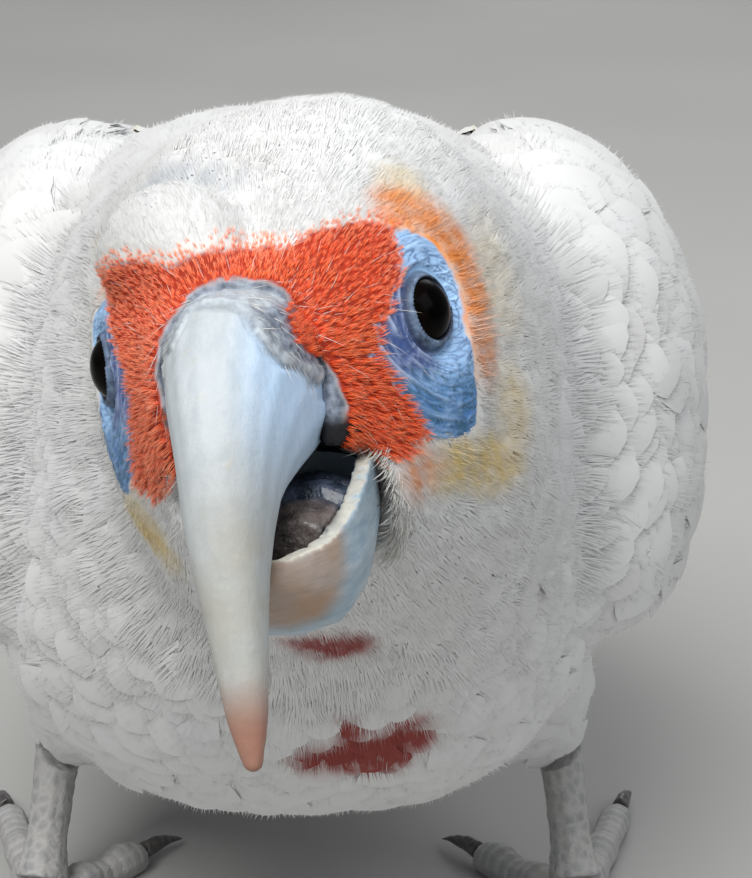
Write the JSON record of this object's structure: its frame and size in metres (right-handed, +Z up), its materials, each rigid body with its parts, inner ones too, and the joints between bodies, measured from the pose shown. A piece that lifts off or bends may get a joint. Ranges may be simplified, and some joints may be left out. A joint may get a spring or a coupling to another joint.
{
  "type": "long-billed corella cockatoo",
  "caption": "Life-size still model of a long-billed corella, a white cockatoo with an orange-red face band and a long bone-coloured bill, standing with its head turned and bill open",
  "frame": {"origin": "on the floor under the middle of the bird's box", "axes": "the bird faces -Y, its left side is +X, +Z up"},
  "size_m": [0.1562, 0.3446, 0.1571],
  "materials": {
    "plumage": "soft white feathers, orange-red bristles round the bill, bare blue skin round the eyes",
    "horn": "smooth satin bone-coloured horn, pinkish brown at the tip",
    "tongue": "moist dark slate, lumpy",
    "eye": "wet gloss, very dark brown",
    "foot_scales": "matt grey scaly skin",
    "claw": "satin dark grey horn"
  },
  "bodies": {
    "root": {"trunk": "plumage", "neck": "plumage", "head": "plumage", "wing_left": "plumage", "wing_right": "plumage", "primaries_left": "plumage", "primaries_right": "plumage", "tail": "plumage", "thigh_left": "plumage", "thigh_right": "plumage", "bill_upper": "horn", "bill_lower": "horn", "tongue": "tongue", "eye_left": "eye", "eye_right": "eye", "tarsus_left": "foot_scales", "tarsus_right": "foot_scales", "toe_1_left": "foot_scales", "toe_2_left": "foot_scales", "toe_3_left": "foot_scales", "toe_4_left": "foot_scales", "toe_1_right": "foot_scales", "toe_2_right": "foot_scales", "toe_3_right": "foot_scales", "toe_4_right": "foot_scales", "claw_1_left": "claw", "claw_2_left": "claw", "claw_3_left": "claw", "claw_4_left": "claw", "claw_1_right": "claw", "claw_2_right": "claw", "claw_3_right": "claw", "claw_4_right": "claw"}
  },
  "joints": []
}
